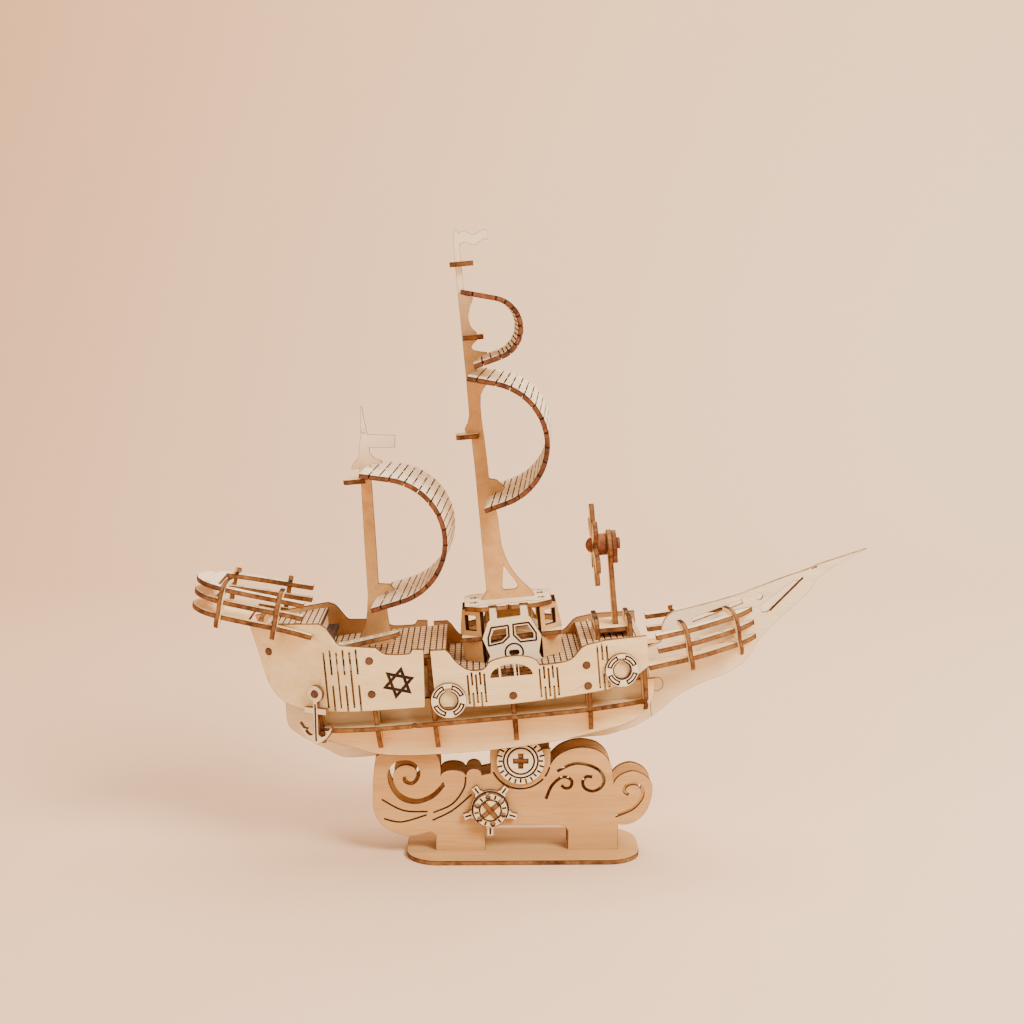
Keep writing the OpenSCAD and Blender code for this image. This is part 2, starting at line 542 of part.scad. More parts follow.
module cabin_side_near() color(pale) ship() cabin_side();
module cabin_side_far() color(pale) ship() mirror([0, 1, 0]) cabin_side();
// slanting corner walls between the sides and the open ends
corner_in = [[-8.6, -13.2], [-17.8, -5.6]];
module corner_wall(mx) translate([cab_c, 0, 0]) mirror([mx, 0, 0]) translate([-cab_c, 0, 0])
  let (a = corner_in[0], b = corner_in[1], d = b - a, l = norm(d))
  translate([a[0], a[1], 0]) rotate([0, 0, atan2(d[1], d[0])]) py(0) difference() {
    poly([[0, well_z], [l - 2.2, well_z], [l, shelf_z], [l - 2.4, roof_z - h], [0, roof_z - h]]);
    rect([2.6, 100.4], [8.4, 106.8]);
    rect([l - 7, shelf_z - h - fit], [l + 2, shelf_z + h + fit]);
  }
module cabin_corners() color(tan_) ship() both() for (m = [0, 1]) corner_wall(m);
// plan of the shelf and roof: a box with cut corners
function eight(x0, x1, y, cx, cy) = [[x0 + cx, -y], [x1 - cx, -y], [x1, -y + cy], [x1, y - cy], [x1 - cx,
  y],
  [x0 + cx, y], [x0, y - cy], [x0, -y + cy]];
module cabin_shelf() color(pale) ship() pz(shelf_z) difference() {
  poly(eight(-17.6, 24, cab_y - h - fit, 0.5, 0.5));
  rect([-6.2, -h - fit], [12.2, h + fit]);
  for (m = [0, 1], k = [0, 1]) mirror([0, k]) translate([cab_c, 0]) mirror([m, 0]) translate([-cab_c, 0])
    let (a = corner_in[0], b = corner_in[1], d = unit(b - a)) poly(strip([a - d,
      a + d * (norm(b - a) - 7)], slot_w));
}
module cabin_roof() color(pale) ship() difference() {
  pz(roof_z) difference() {
    poly(eight(-15.4, 21, cab_y + 1.6, 7, 5));
    rect([-6.2, -h - fit], [12.2, h + fit]);
    for (s = [-1, 1]) {
      poly([[1.6, s * (cab_y + 2)], [2.8, s * (cab_y - 0.6)], [4, s * (cab_y + 2)]]);
      for (x = [[-5.4, -2.2], [7.4, 10.8]]) rect([x[0] - fit, s * cab_y - h - fit], [x[1] + fit,
        s * cab_y + h + fit]);
      rect([-5.4, s > 0 ? cab_y : -cab_y - 2], [-2.2, s > 0 ? cab_y + 2 : -cab_y]);
      rect([7.4, s > 0 ? cab_y : -cab_y - 2], [10.8, s > 0 ? cab_y + 2 : -cab_y]);
    }
  }
  pz(roof_z + h, 2 * engrave) for (s = [-1, 1]) {
    line([for (i = [0:24]) [-13 + i * 1.3, s * (11.4 + 1.3 * sin(i * 55))]], 0.4);
    for (x = [-11.5, 17]) translate([x, s * 5]) strokes([for (i = [0:5]) 2 * [cos(i * 144),
      sin(i * 144)]], 0.3);
  }
}

// ---------- masts ----------
module main_mast() color(tan_) ship() py() difference() {
  union() {
    mast_flag();
    poly(concat([[-8.4, roof_z + h], [-5.8, roof_z + h + 3.6], [-6.2, 170], [-6.56, 182], [-8.4, 182.1]],
      spl([[-8.4, 182.1], [-9, 184], [-7.6, 186.2], [-6.6, 189.4]], 2),
      [[-6.5, 205.9], [-6.7, 222.6], [-6.9, 240.2], [-6.9, 262.4], [-6.1, 265.4], [-5.2, 266.2],
       [-4.6, 264.8], [-4.4, 255], [-4.3, 242]],
      spl([[-4.1, 238.9], [-0.8, 237.9], [-2.6, 233.6], [-3.4, 229.6], [-2.6, 225.8], [-0.4, 223.4]], 3),
        [[-0.4, 220.4]],
      spl([[-1.4, 219.6], [-3, 218], [-2.2, 216.2], [3, 215]], 2),
      [[3.2, 214.2], [-1, 213], [-1.9, 209.4], [-1.7, 205.1], [5, 203.4]],
      spl([[1.6, 201.4], [-1, 197.6], [-1.6, 188.3], [-1, 178], [-0.7, 167.2]], 2),
      [[-0.6, 162.4], [2.6, 161.6], [5.8, 158.2], [4.6, 156.8], [0.2, 156]],
      spl([[1.2, 150], [1.8, 143], [2.2, 133.8], [4.5, 125.7], [8, 119.6], [12.7, roof_z + h + 3.2]], 2),
      [[14.4, roof_z + h], [12.2 - fit, roof_z + h], [12.2 - fit, well_z - ply],
       [-6.2 + fit, well_z - ply], [-6.2 + fit, roof_z + h]]));
  }
  poly([[2.4, 125.4], [3.6, 123], [7, 117.6], [7.6, 115.8], [6.8, 114.6], [1.8, 114.6], [1, 115.6], [1.6,
    121]]);
}
flag_w = [for (i = [0:10]) [-4.6 + i * 1.2, 264.2 + 0.9 * sin(i * 52)]];
module mast_flag() poly(concat(flag_w, [for (i = [10:-1:0]) flag_w[i] - [0, 4.8 - 0.1 * i]]));
module mizzen_mast() color(tan_) ship() py() difference() {
  poly(concat([[-52.4, 185], [-51.4, 197], [-50.8, 197], [-49.6, 185.2], [-38.1, 183.9], [-38.6, 178.6],
      [-49.2, 179.6], [-49.4, 177.4], [-47.6, 175], [-44.9, 173.9], [-44.4, 172.7], [-49.6, 172.6],
        [-49.7, 163.5],
      [-50.4, 136.6], [-50.9, 121.9], [-46.3, 121.3], [-44.3, 118.6], [-48.5, 118]],
      spl([[-48.4, 114], [-48.3, 107], [-47.6, 101], [-46.4, main_z]], 3), [[-47 - fit, main_z],
        [-47 - fit, keel_top],
      [-61 + fit, keel_top], [-61 + fit, main_z]],
      spl([[-61.6, main_z], [-60.4, 101], [-57.6, 107], [-55.9, 117.2]], 3),
      [[-55.2, 139.4], [-54.2, 163.8], [-54.3, 171.4], [-57.7, 171], [-56.6, 173.6], [-54.3, 175.8]]));
  translate([-51, 186.6]) circle(0.8);
  rect([frame_x[1] - h - fit, 80], [frame_x[1] + h + fit, frame_top[1]]);
}

// side view of a sail: straight lead, round belly about the point c, shorter straight tail
function sail_path(c, r, slope, lead, tail, n = 22) = let (cs = cos(slope), sn = sin(slope)) concat(
  [for (k = [0:2]) c + r * [sn, cs] - (1 - k / 3) * lead * [cs, -sn]],
  [for (i = [0:n]) let (a = (90 - slope) * (1 - 2 * i / n)) c + r * [cos(a), sin(a)]],
  [for (k = [2:-1:0]) c + r * [sn, -cs] - (1 - k / 3) * tail * [cs, sn]]);
module sail_slits(w, parts) for (q = parts) for (k = q[0] == 0 ? [1] : [-1, 1])
  translate([0, k * w * q[0], 0]) cube([sail_slit, 2 * w * q[1], 3 * ply], center = true);
module sail_sheet(p, w) difference() {
  py(0, 2 * w) poly(strip(p, ply));
  // staggered slits
  for (i = [1:len(p) - 2]) translate([p[i][0], 0, p[i][1]]) rotate([0, atan2(nrm(p, i)[0], nrm(p, i)[1]),
    0])
    sail_slits(w, i % 2 == 0 ? [[0.5, 0.44]] : [[0, 0.46], [0.84, 0.3]]);
}
// a sail turned about its mast and slotted over it at both ends
module sail(p, w, yaw, top_x, low_x)
  let (x0 = p[0][0], zt = p[0][1], zb = p[len(p) - 1][1], zm = (zt + zb) / 2) difference() {
    translate([x0, 0, 0]) rotate([0, 0, -yaw]) translate([-x0, 0, 0]) sail_sheet(p, w);
    bx([x0 - 6, -h - fit, zm], [top_x, h + fit, zt + 6]);
    bx([x0 - 6, -h - fit, zb - 8], [low_x, h + fit, zm]);
  }
function main_path() = sail_path([1.18, 180.1], 24.6, 15, 11.5, 9);
function upper_path() = sail_path([5.1, 225.3], 12, 15, 14.1, 11.3, 16);
function mizzen_path() = sail_path([-44.83, 143.25], 25.7, 12, 12.3, 12.6);
module sail_main() color(pale) ship() sail(main_path(), main_half, main_yaw, -1.4, 1.1);
module sail_upper() color(pale) ship() sail(upper_path(), upper_half, 0, -3.9, -1);
module sail_mizzen() color(pale) ship() sail(mizzen_path(), mizzen_half, mizzen_yaw, -49.4, -48.2);
// small round platforms threaded on the masts
module crosstree(x0, x1, z, m0, m1, w) pz(z) difference() {
  union() { rect([x0 + 2, -w], [x1 - 2, w]); rect([x0, -w + 2], [x1, w - 2]);
    for (x = [x0 + 2, x1 - 2], y = [-w + 2, w - 2]) translate([x, y]) circle(2); }
  rect([m0 - fit, -h - fit], [m1 + fit, h + fit]);
}
module crosstrees() color(burnt) ship() {
  crosstree(-9.2, 0.6, 251.8, -6.9, -4.3, 5.2);
  crosstree(-6.6, 2.2, 221.6, -7, -0.36, 5.6);
  crosstree(-12.8, -3.2, 181, -6.56, -1.3, 6.4);
  crosstree(-61.2, -52.2, 166.3, -54.26, -49.66, 5.6);
}

// ---------- windmill on the fore deck ----------
bulk = [39.1, 52.9];
post_x = 47.6;
module bow_bulkheads() color(burnt) ship() {
  for (x = bulk) px(x) difference() {
    poly([[-12, fore_z - ply], [12, fore_z - ply], [12, 98.2], [9.6, 100.2], [2.6, 100.2], [0, 98], [-2.6,
      100.2],
      [-9.6, 100.2], [-12, 98.2]]);
    rect([-9.2 - fit, 95.4 - h - fit], [9.2 + fit, 95.4 + h + fit]);
  }
}
module bow_shelf() color(pale) ship() pz(95.4) difference() {
  union() { rect([bulk[0] + h, -10.6], [bulk[1] - h, 10.6]); rect([bulk[0] - h, -9.2], [bulk[1] + h,
    9.2]); }
  rect([post_x - h - fit, -4.6 - fit], [post_x + h + fit, 4.6 + fit]);
}
mill_bore = 1.5;
module mill_post() color(tan_) ship() px(post_x) difference() {
  union() {
    poly([[-4.6, fore_z], [-4.6, 104], [-3, 112], [-2.8, 126], [2.8, 126], [3, 112], [4.6, 104], [4.6,
      fore_z]]);
    translate([0, mill_z]) circle(6);
  }
  translate([0, mill_z]) circle(mill_bore + run);
}
module mill_doubler() color(burnt) ship() px(post_x + ply) difference() {
  union() { translate([0, mill_z]) circle(5.6); rect([-3, mill_z - 8], [3, mill_z]); }
  translate([0, mill_z]) circle(mill_bore + run);
}
hub_x = post_x - h - 0.3;
module mill_axle() color(burnt) ship() translate([0, 0, mill_z]) rotate([0, 90, 0]) {
  translate([0, 0, hub_x - 2 * ply - ply - 1.4]) cylinder(h = post_x + ply + h + 1 - (hub_x - 3 * ply -
    1.4), r = mill_bore);
  translate([0, 0, post_x + ply + h + 0.3]) cylinder(h = 1.2, r = 2.4);
  translate([0, 0, hub_x - 3 * ply]) intersection() {
    rotate([0, 180, 0]) cylinder(h = 3, r = 3.2);
    translate([0, 0, 0.8]) sphere(r = 3.6);
  }
}
module mill_hub() color(burnt) ship() px(hub_x - ply, 2 * ply) difference() {
  translate([0, mill_z]) circle(4.6);
  translate([0, mill_z]) circle(mill_bore + fit);
}
module mill_blades() color(pale) ship() px(hub_x - 2 * ply - h) translate([0, mill_z]) difference() {
  union() {
    circle(4.4);
    spin(6, 90) poly(concat([[3, -1.6]], spl([[6, -2.2], [12, -4.2], [16, -4.4], [17.4, -2], [mill_r, 1]],
      3),
      spl([[15, 3], [10, 2.4], [6, 1.6]], 3), [[3, 1.6]]));
  }
  circle(mill_bore + fit);
}

// ---------- rails ----------
// all stern rails share one sloping frame, and so do all bow rails
module stern_frame() translate([-81, 0, 107]) rotate([0, stern_slope, 0]) children();
module bow_frame() translate([62, 0, 81.2]) rotate([0, -bow_slope, 0]) children();
stern_up = [0, 6.3, 11.6];
bow_up = [0, 6.1, 11.8];
stern_edge = spl([[2.5, 22], [-13.4, 20.3], [-26, 19.2], [-37, 17.2], [-44.4, 13.3], [-49, 7], [-50.7, 0]],
  3);
low_edge = concat(spl([[2.5, 25.4], [-5, 22.5], [-13.4, 20.3]], 2),
  [for (q = stern_edge) if (q[0] < -14) q]);
bow_edge = spl([[-3.4, 23.8], [14.3, 20.6], [26, 15.8], [36.6, 9.8], [42, 5.2], [44.6, 2], [45.2, 0]], 3);
// posts: place along the rail, distance out, turn in plan
stern_posts = [[-13.4, 20.3, -5], [-37, 17.2, -20]];
bow_posts = [[14.3, 20.6, 17], [36.6, 9.8, 32]];
notch = 0.7;
function flip(p) = [for (i = [len(p) - 1:-1:0]) [p[i][0], -p[i][1]]];
module at_post(q) translate([q[0], -q[1], 0]) rotate([0, 0, q[2]]) children();
// rail sheet: an outline, less its inside and the notches for the posts
module rail_2d(edge, in_pts, posts) difference() {
  poly(concat(edge, flip(edge)));
  poly(concat(in_pts, flip(in_pts)));
  for (k = [0, 1]) mirror([0, k]) for (q = posts) translate([q[0], -q[1]]) rotate(q[2])
    rect([-h - fit, -8], [h + fit, notch]);
}
function shrink(p, d, x1) = [for (q = p) if (q[0] >= x1) [q[0], max(q[1] - d, 2)]];
rail_w = 3.9;
module eye_slots(edge, d, xs) for (k = [0, 1]) mirror([0, k]) for (x = xs)
  translate([edge[x][0], edge[x][1] - d]) square([2.2, 0.6], center = true);
module stern_rail(i, x0) color(pale) ship() stern_frame() pz(stern_up[i]) difference() {
  rail_2d(concat([[x0, stern_edge[0][1]]], [for (q = stern_edge) if (q[0] < x0 - 1) q]),
    concat([[x0 + 4, stern_edge[0][1] - rail_w]], shrink(stern_edge, rail_w, -41)), stern_posts);
  eye_slots(stern_edge, rail_w / 2, [5, 8, 12]);
}
module stern_rail_top() stern_rail(2, -3);
module stern_rail_mid() stern_rail(1, -2.6);
// the lowest one is closed aft of the transom and cut round the side panels
module stern_rail_low() color(pale) ship() difference() {
  stern_frame() pz(stern_up[0]) rail_2d(low_edge, [[6, 24], [2.6, 22.2], [-2, 20], [-10, 17.4], [-24.6,
    16.4]], stern_posts);
  both() translate([0, 0, 90]) linear_extrude(21.6) panel_plan(0.1);
}
// the higher a bow rail, the further forward it starts
bow_start = [-3.4, -1.6, 0.8];
module bow_rail(i, d, x1) color(pale) ship() bow_frame() pz(bow_up[i]) difference() {
  rail_2d([for (q = bow_edge) if (q[0] >= bow_start[i]) q], concat([[-8, bow_edge[0][1] - d]],
    [for (q = bow_edge) if (q[0] < x1) [q[0],
    max(q[1] - d, 1.4)]],
    [[x1, 1.4]]), bow_posts);
  if (i < 2) eye_slots(bow_edge, d - 1.4, [4, 7]);
}
module bow_rail_top() bow_rail(2, 4, 38);
module bow_rail_mid() bow_rail(1, 4, 38);
module bow_rail_low() bow_rail(0, 9, 36);
// upright posts notched onto the rails, hooked inwards at the top
module post_2d(up) difference() {
  poly(concat(spl([[-0.9, -4.6], [-1.4, -1.6], [-0.9, 2], [-1.3, 6], [-0.9, 10.4], [0.2, 13.2], [2.6,
    15.3], [6.2, 16]], 3),
    [[6.6, 14.2]], spl([[4, 13.5], [2.2, 12], [1.5, 9], [1.3, 5], [1.7, 1], [1.3, -2], [1, -4.6]], 3)));
  for (z = up) rect([notch, z - h - fit], [9, z + h + fit]);
}
module rail_posts() color(burnt) ship() both() {
  stern_frame() for (q = stern_posts) at_post(q) px(0) post_2d(stern_up);
  bow_frame() for (q = bow_posts) at_post(q) px(0) post_2d(bow_up);
}

// ---------- fittings ----------
buoy_at = [[-24.8, 76.6], [46.7, 82.4]];
module buoy_2d(r) difference() {
  circle(r);
  circle(r * 0.49);
  translate([-1.1, r * 0.36]) square([2.2, r * 0.34]);
}
module buoy_marks(r) {
  spin(4, 45) difference() {
    arc_slot(r * 0.78, buoy_arc, -28, 28);
    arc_slot(r * 0.78, buoy_arc - 2 * buoy_line, -23.5, 23.5);
  }
  ring(r * 0.49 + buoy_line, r * 0.48);
}
buoy_line = 0.45;
buoy_arc = 1.9;
module life_buoys() color(pale) ship() both() for (k = [0,
  1]) let (r = k == 0 ? 7.3 : 7) on_panel(buoy_at[k]) difference() {
  py(-h - fit) buoy_2d(r);
  py(-ply - fit, 2 * engrave) buoy_marks(r);
}
function flipx(p) = [for (q = p) [-q[0], q[1]]];
anchor_arm = concat(spl([[-7.6, -12.9], [-7, -15.7], [-4.4, -19.1], [0, -21.9]], 3), [[0, -17.1]],
  spl([[-1.1, -17.1], [-2.6, -18], [-4.2, -17.3], [-5, -16.3]], 2), [[-4, -15.3], [-5.8, -15.2]]);
module anchor_2d() difference() {
  union() {
    circle(3.5);
    rect([-1.1, -18.7], [1.1, -2.6]);
    rect([-5.2, -8.6], [5.2, -6]);
    poly(anchor_arm);
    poly(flipx(anchor_arm));
  }
  circle(peg_r + run);
}
// hangs plumb in the plane of the leaning panel
anchor_hang = -atan(tan(pitch) * cos(turn(anchor_p[0])));
module anchor() ship() on_panel(anchor_p) difference() {
  py(-anchor_gap - h) rotate(anchor_hang) anchor_2d();
  py(-anchor_gap - ply, 2 * engrave) rotate(anchor_hang) line([[0, -4.4], [0, -20.1]]);
}
module anchor_near() color(pale) anchor();
module anchor_far() color(pale) mirror([0, 1, 0]) anchor();

base_plate();
stand_plate_near();
stand_plate_far();
stand_ties();
medallions();
pivot_pins();
helm_axle();
helm_wheels();
helm_spokes();
keel_plate();
bow_plate();
garboard_near();
garboard_far();
frame_1();
frame_2();
frame_3();
frame_4();
frame_5();
frame_6();
stringers();
panel_aft_near();
panel_aft_far();
panel_fore_near();
panel_fore_far();
main_deck();
well_deck();
fore_deck();
poop_deck();
transom();
hatch_board();
cabin_side_near();
cabin_side_far();
cabin_corners();
cabin_shelf();
cabin_roof();
main_mast();
mizzen_mast();
sail_mizzen();
sail_main();
sail_upper();
crosstrees();
bow_bulkheads();
bow_shelf();
mill_post();
mill_doubler();
mill_axle();
mill_hub();
mill_blades();
stern_rail_top();
stern_rail_mid();
stern_rail_low();
bow_rail_top();
bow_rail_mid();
bow_rail_low();
rail_posts();
hull_pegs();
life_buoys();
anchor_near();
anchor_far();
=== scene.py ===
"""Plywood sailing ship on a wave stand, as a made-up kit: pale sheet faces, laser-browned
cut edges and engraved lines, on a seamless studio sweep.

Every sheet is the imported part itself. Its triangles are sorted with numpy into sheet faces and
cut edges, and two attributes carry what the wood shaders need: `across` runs from -1 to 1
through the thickness of a sheet, and `tone` is one chance value for each sheet."""

import bpy
import numpy as np
from mathutils import Matrix

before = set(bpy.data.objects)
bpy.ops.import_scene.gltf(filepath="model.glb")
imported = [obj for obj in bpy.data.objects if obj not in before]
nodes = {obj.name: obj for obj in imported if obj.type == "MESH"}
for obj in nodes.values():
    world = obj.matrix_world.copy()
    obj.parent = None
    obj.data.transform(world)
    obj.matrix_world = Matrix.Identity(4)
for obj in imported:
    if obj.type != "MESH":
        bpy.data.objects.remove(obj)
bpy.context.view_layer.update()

MM = 0.001
PITCH = np.radians(5.0)  # bow-up pitch of the ship on its stand
PLY = 2.0 * MM
SCORCH = 0.14 * MM  # width of the burnt rim along every cut
WELD_GAP = 0.002 * MM  # corners closer than this are one corner
SHARP_ANGLE = np.radians(50)  # edges sharper than this are cuts

# ---------- which sheets are which ----------
# yaw in degrees, the x it turns about, belly centre x and z, lead slope in degrees, belly radius
CURVED_SAILS = {
    "sail_main": (3.4, -3.56, 1.18, 180.1, 15.0, 24.6),
    "sail_upper": (0.0, 0.0, 5.1, 225.3, 15.0, 12.0),
    "sail_mizzen": (2.8, -51.52, -44.83, 143.25, 12.0, 25.7),
}
# bend stations of the side panels along the ship, mm, and their lean in plan, degrees
PANEL_STATIONS = np.array([-106, -90, -74, -71.3, -68.7, -66, -63.3, -60.7, -58, -34, -10,
                           13.5, 15.4, 17.3, 19.1, 21, 38, 40, 42, 59])
PANEL_LEAN = ((-74.01, -74, -58, -57.99, -34.01, -34, 13.5, 21, 38, 42, 42.01, 60),
              (24, 24, 3, 3, 3, 0, 0, -3, -3, -6.5, -6.5, -6.5))
PANEL_AMIDSHIPS = -10.0  # mm along the ship, where the outer half breadth is known
PANEL_HALF_BREADTH = 29.25  # mm, there
SIDE_PANELS = ("panel_aft_near", "panel_aft_far", "panel_fore_near", "panel_fore_far")
DECKS = ("main_deck", "well_deck", "fore_deck", "poop_deck")
# sheets in the darker tan wood; for the base plate the tan is painted shade, darkening its flat top
TAN_AND_SHADED_SHEETS = ("base_plate", "stand_plate_near", "stand_plate_far", "main_mast", "mizzen_mast",
              "mill_post", "cabin_corners", "transom")
WHITE_SHEETS = ("sail_main", "sail_upper", "sail_mizzen", "bow_plate", "keel_plate",
                "cabin_side_near", "cabin_side_far", "cabin_roof", "hatch_board", "life_buoys",
                "medallions", "stern_rail_top", "stern_rail_mid", "bow_rail_top", "bow_rail_mid",
                "helm_wheels", "anchor_near", "anchor_far")
LIGHT_EDGES = ("bow_plate", "main_mast", "mizzen_mast")
CHARRED = ("mill_hub", "mill_doubler", "mill_axle", "hull_pegs")
ACROSS_GRAIN = ("frame_1", "frame_2", "frame_3", "frame_4", "frame_5", "frame_6", "bow_bulkheads",
                "crosstrees", "mill_post", "mill_blades", "stand_ties", "sail_main", "sail_upper",
                "sail_mizzen")

# material slots of every node
SLOT_FACE, SLOT_BACK, SLOT_CUT, SLOT_ENGRAVED = range(4)


# ---------- shader building blocks ----------
def new_material(name):
    """An empty principled material and its node tree."""
    mat = bpy.data.materials.new(name)
    mat.use_nodes = True
    tree = mat.node_tree
    shader = tree.nodes["Principled BSDF"]
    return mat, tree, shader


BLACK = (0.0, 0.0, 0.0)
EVEN = (1.0, 1.0, 1.0)  # stretch of a pattern with no grain


def grey(value):
    """A grey colour of one value."""
    return (value, value, value)


def grain_space(tree, stretch, offset=(0, 0, 0)):
    """Object coordinates squeezed along the grain, so that noise draws out into fibres."""
    place = tree.nodes.new("ShaderNodeTexCoord")
    mapping = tree.nodes.new("ShaderNodeMapping")
    mapping.inputs["Scale"].default_value = stretch
    mapping.inputs["Location"].default_value = offset
    tree.links.new(place.outputs["Object"], mapping.inputs["Vector"])
    return mapping.outputs["Vector"]


def noise(tree, vector, scale, detail=3.0, rough=0.55):
    """Fractal noise value, 0 to 1."""
    node = tree.nodes.new("ShaderNodeTexNoise")
    node.inputs["Scale"].default_value = scale
    node.inputs["Detail"].default_value = detail
    node.inputs["Roughness"].default_value = rough
    tree.links.new(vector, node.inputs["Vector"])
    return node.outputs["Fac"]


def ramp(tree, value, stops):
    """Colour ramp through (position, colour) stops."""
    node = tree.nodes.new("ShaderNodeValToRGB")
    elements = node.color_ramp.elements
    while len(elements) < len(stops):
        elements.new(0.5)
    for element, (position, colour) in zip(elements, stops):
        element.position = position
        element.color = (*colour, 1.0)
    tree.links.new(value, node.inputs["Fac"])
    return node.outputs["Color"]


def mix(tree, amount, a, b, how="MIX"):
    """Blend of two colours; amount, a and b are sockets or plain values."""
    node = tree.nodes.new("ShaderNodeMix")
    node.data_type = "RGBA"
    node.blend_type = how
    for socket, value in ((node.inputs["Factor"], amount), (node.inputs[6], a), (node.inputs[7], b)):
        if isinstance(value, bpy.types.NodeSocket):
            tree.links.new(value, socket)
        elif isinstance(value, tuple):
            socket.default_value = (*value, 1.0)
        else:
            socket.default_value = value
    return node.outputs[2]


def attribute(tree, name):
    """Value of a mesh attribute."""
    node = tree.nodes.new("ShaderNodeAttribute")
    node.attribute_name = name
    return node.outputs["Fac"]


def calc(tree, how, a, b=0.0):
    """One sum on sockets or numbers."""
    node = tree.nodes.new("ShaderNodeMath")
    node.operation = how
    for socket, value in zip(node.inputs, (a, b)):
        if isinstance(value, bpy.types.NodeSocket):
            tree.links.new(value, socket)
        else:
            socket.default_value = value
    return node.outputs["Value"]


def bump(tree, height, strength, distance):
    """Fine relief from a height value."""
    node = tree.nodes.new("ShaderNodeBump")
    node.inputs["Strength"].default_value = strength
    node.inputs["Distance"].default_value = distance
    tree.links.new(height, node.inputs["Height"])
    return node.outputs["Normal"]


# ---------- wood ----------
FIBRE_SQUEEZE = 0.05  # how far the pattern draws out along the grain
FLECK_SQUEEZE = 0.12
FIBRE_SCALE, BAND_SCALE, CLOUD_SCALE, FLECK_SCALE = 1500.0, 420.0, 38.0, 900.0
TONE_SHARE = 0.35  # most that one sheet may be darker than another
BLEACH_SHARE = 0.8
BLOTCH_SCALE, DRIFT_SCALE = 330.0, 70.0


def sheet_face(name, light, dark, across_hull=False, bleach=None):
    """Face of a plywood sheet: long pale fibres, a slow drift of tone and a few darker flecks.
    bleach is a pair of heights in metres between which the sheet turns pale."""
    mat, tree, shader = new_material(name)
    fibre = (1.0, FIBRE_SQUEEZE, 1.0) if across_hull else (FIBRE_SQUEEZE, 1.0, 1.0)
    half_fibre = tuple(0.5 * f for f in fibre)
    fleck_fibre = tuple(1.0 if f == 1.0 else FLECK_SQUEEZE for f in fibre)
    streaks = noise(tree, grain_space(tree, fibre), FIBRE_SCALE, 4.0, 0.6)
    bands = noise(tree, grain_space(tree, half_fibre, (0.3, 0.1, 0.7)), BAND_SCALE, 2.0)
    cloud = noise(tree, grain_space(tree, EVEN), CLOUD_SCALE, 2.0)
    both = calc(tree, "ADD", calc(tree, "MULTIPLY", streaks, 0.5), calc(tree, "MULTIPLY", bands, 0.5))
    wood = ramp(tree, both, [(0.38, dark), (0.60, light)])
    wood = mix(tree, ramp(tree, cloud, [(0.35, BLACK), (0.70, grey(0.55))]), wood, dark)
    fleck = noise(tree, grain_space(tree, fleck_fibre), FLECK_SCALE, 1.0)
    flecks = ramp(tree, fleck, [(0.70, BLACK), (0.80, grey(0.35))])
    brown = tuple(0.62 * c for c in dark)
    wood = mix(tree, flecks, wood, brown)
    sheet = attribute(tree, "tone")
    wood = mix(tree, calc(tree, "MULTIPLY", sheet, TONE_SHARE), wood, dark)
    if bleach:
        low, high = bleach
        apart = tree.nodes.new("ShaderNodeSeparateXYZ")
        tree.links.new(grain_space(tree, EVEN), apart.inputs["Vector"])
        climb = calc(tree, "DIVIDE", calc(tree, "SUBTRACT", apart.outputs["Z"], low), high - low)
        wood = mix(tree, ramp(tree, climb, [(0.0, BLACK), (1.0, grey(BLEACH_SHARE))]), wood, WHITE)
    tree.links.new(wood, shader.inputs["Base Color"])
    shader.inputs["Roughness"].default_value = 0.62
    shader.inputs["Specular IOR Level"].default_value = 0.28
    tree.links.new(bump(tree, streaks, 0.18, 0.1 * MM), shader.inputs["Normal"])
    return mat


def cut_edge(name, pale, brown, black, char=0.5):
    """Laser-cut edge: toasted plies with darker glue lines, blotched char and burnt rims."""
    mat, tree, shader = new_material(name)
    across = attribute(tree, "across")
    depth = calc(tree, "ABSOLUTE", across)
    blotch = noise(tree, grain_space(tree, EVEN), BLOTCH_SCALE, 4.0, 0.65)
    drift = noise(tree, grain_space(tree, EVEN, (0.2, 0.5, 0.1)), DRIFT_SCALE, 2.0)
    toast = calc(tree, "ADD", calc(tree, "MULTIPLY", blotch, 0.6), calc(tree, "MULTIPLY", drift, 0.4))
    wood = ramp(tree, toast, [(0.30, black), (char, brown), (0.62, pale)])
    glue = ramp(tree, depth, [(0.26, BLACK), (0.33, grey(0.45)), (0.42, BLACK)])
    wood = mix(tree, glue, wood, black)
    rim = ramp(tree, depth, [(0.55, BLACK), (0.88, grey(0.8))])
    wood = mix(tree, rim, wood, black)
    tree.links.new(wood, shader.inputs["Base Color"])
    shader.inputs["Roughness"].default_value = 0.78
    shader.inputs["Specular IOR Level"].default_value = 0.2
    tree.links.new(bump(tree, blotch, 0.35, 0.15 * MM), shader.inputs["Normal"])
    return mat


CREAM = (0.97, 0.75, 0.43)
CREAM_DARK = (0.82, 0.55, 0.25)
TAN = (0.74, 0.42, 0.155)
TAN_DARK = (0.55, 0.285, 0.09)
WHITE = (0.95, 0.78, 0.55)
WHITE_DARK = (0.84, 0.62, 0.37)
# decks: the wood darkened as painted shade, for the shade that falls on the decks between rails,
# cabin and panels
DECK_SHADE_PALE = (0.84, 0.56, 0.31)
DECK_SHADE_DARK = (0.64, 0.38, 0.18)
# inner faces of the side panels: a darker brown copy of the wood, painted shade for faces that lie in
# the shade of the near parts
SHADED_INNER = (0.58, 0.30, 0.10)
SHADED_INNER_DARK = (0.44, 0.21, 0.065)
EDGE_PALE = (0.34, 0.145, 0.038)
EDGE_BROWN = (0.15, 0.05, 0.013)
EDGE_BLACK = (0.022, 0.008, 0.004)
CHAR_LIGHT = (0.20, 0.075, 0.03)
CHAR_DARK = (0.10, 0.035, 0.014)
DARK_EDGE = ((0.27, 0.085, 0.028), (0.12, 0.035, 0.012), (0.02, 0.008, 0.005))
LINE = ((0.085, 0.030, 0.013), (0.040, 0.014, 0.007), (0.014, 0.006, 0.004))
MAIN_BLEACH = (0.212, 0.243)
MIZZEN_BLEACH = (0.158, 0.178)

